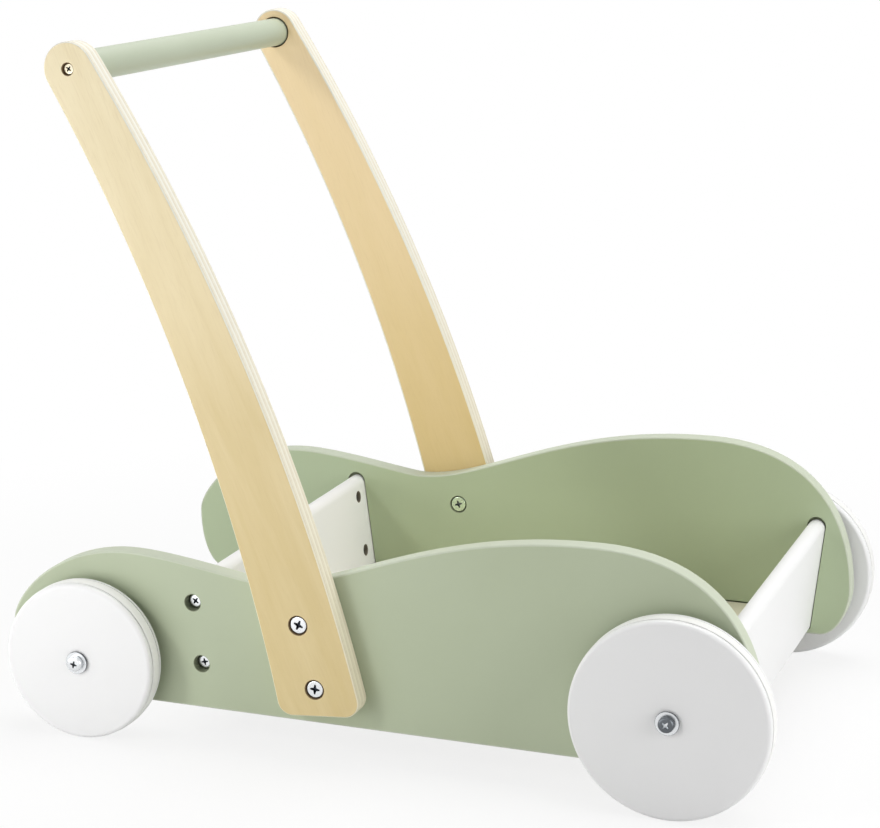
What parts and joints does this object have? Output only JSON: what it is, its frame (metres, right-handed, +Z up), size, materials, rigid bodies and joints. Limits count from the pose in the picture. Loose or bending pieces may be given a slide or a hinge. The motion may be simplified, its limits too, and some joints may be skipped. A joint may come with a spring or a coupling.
{
  "type": "baby push walker",
  "caption": "Wooden baby push walker: open tray between wavy sage-green side panels on white disc wheels, with bowed plywood arms carrying a round handle bar.",
  "frame": {"origin": "on the ground, midway between the rear and front extremes and between the two sides", "axes": "+X forwards, away from the child who pushes it; +Y to the walker's left; +Z up"},
  "size_m": [0.515, 0.3576, 0.4502],
  "materials": {
    "sage_painted_board": "satin sage-green paint",
    "birch_plywood": "clear-lacquered birch plywood with layered edges",
    "white_painted_board": "satin off-white paint",
    "clear_plywood": "thin plywood, clear matt finish",
    "sage_painted_dowel": "satin pale sage paint",
    "white_painted_disc": "satin white paint",
    "white_rubber": "matt white rubber",
    "white_nylon": "plain moulded",
    "zinc_plated_steel": "bright zinc plate"
  },
  "bodies": {
    "frame": {"floor_board": "clear_plywood", "front_cross_board": "white_painted_board", "handle_bar": "sage_painted_dowel", "left_bar_screw": "zinc_plated_steel", "left_front_axle_bolt": "zinc_plated_steel", "left_front_axle_sleeve": "zinc_plated_steel", "left_front_hub_washer": "zinc_plated_steel", "left_front_lower_barrel_nut": "zinc_plated_steel", "left_front_lower_screw": "zinc_plated_steel", "left_front_spacer_washer": "white_nylon", "left_front_upper_barrel_nut": "zinc_plated_steel", "left_front_upper_screw": "zinc_plated_steel", "left_handle_arm": "birch_plywood", "left_lower_arm_bolt": "zinc_plated_steel", "left_lower_sleeve_nut": "zinc_plated_steel", "left_rear_axle_bolt": "zinc_plated_steel", "left_rear_axle_sleeve": "zinc_plated_steel", "left_rear_hub_washer": "zinc_plated_steel", "left_rear_lower_barrel_nut": "zinc_plated_steel", "left_rear_lower_screw": "zinc_plated_steel", "left_rear_spacer_washer": "white_nylon", "left_rear_upper_barrel_nut": "zinc_plated_steel", "left_rear_upper_screw": "zinc_plated_steel", "left_side_panel": "sage_painted_board", "left_upper_arm_bolt": "zinc_plated_steel", "left_upper_sleeve_nut": "zinc_plated_steel", "rear_cross_board": "white_painted_board", "right_bar_screw": "zinc_plated_steel", "right_front_axle_bolt": "zinc_plated_steel", "right_front_axle_sleeve": "zinc_plated_steel", "right_front_hub_washer": "zinc_plated_steel", "right_front_lower_barrel_nut": "zinc_plated_steel", "right_front_lower_screw": "zinc_plated_steel", "right_front_spacer_washer": "white_nylon", "right_front_upper_barrel_nut": "zinc_plated_steel", "right_front_upper_screw": "zinc_plated_steel", "right_handle_arm": "birch_plywood", "right_lower_arm_bolt": "zinc_plated_steel", "right_lower_sleeve_nut": "zinc_plated_steel", "right_rear_axle_bolt": "zinc_plated_steel", "right_rear_axle_sleeve": "zinc_plated_steel", "right_rear_hub_washer": "zinc_plated_steel", "right_rear_lower_barrel_nut": "zinc_plated_steel", "right_rear_lower_screw": "zinc_plated_steel", "right_rear_spacer_washer": "white_nylon", "right_rear_upper_barrel_nut": "zinc_plated_steel", "right_rear_upper_screw": "zinc_plated_steel", "right_side_panel": "sage_painted_board", "right_upper_arm_bolt": "zinc_plated_steel", "right_upper_sleeve_nut": "zinc_plated_steel"},
    "right_rear_wheel_body": {"right_rear_wheel": "white_painted_disc", "right_rear_tyre": "white_rubber"},
    "right_front_wheel_body": {"right_front_wheel": "white_painted_disc", "right_front_tyre": "white_rubber"},
    "left_rear_wheel_body": {"left_rear_wheel": "white_painted_disc", "left_rear_tyre": "white_rubber"},
    "left_front_wheel_body": {"left_front_wheel": "white_painted_disc", "left_front_tyre": "white_rubber"}
  },
  "joints": [
    {"name": "right_rear_wheel_spin", "type": "hinge", "parent": "frame", "child": "right_rear_wheel_body", "pos_m": [-0.19855, -0.1642, 0.05235], "axis": [0, 1, 0], "continuous": true},
    {"name": "right_front_wheel_spin", "type": "hinge", "parent": "frame", "child": "right_front_wheel_body", "pos_m": [0.19445, -0.1642, 0.06309], "axis": [0, 1, 0], "continuous": true},
    {"name": "left_rear_wheel_spin", "type": "hinge", "parent": "frame", "child": "left_rear_wheel_body", "pos_m": [-0.19855, 0.1642, 0.05235], "axis": [0, 1, 0], "continuous": true},
    {"name": "left_front_wheel_spin", "type": "hinge", "parent": "frame", "child": "left_front_wheel_body", "pos_m": [0.19445, 0.1642, 0.06309], "axis": [0, 1, 0], "continuous": true}
  ]
}
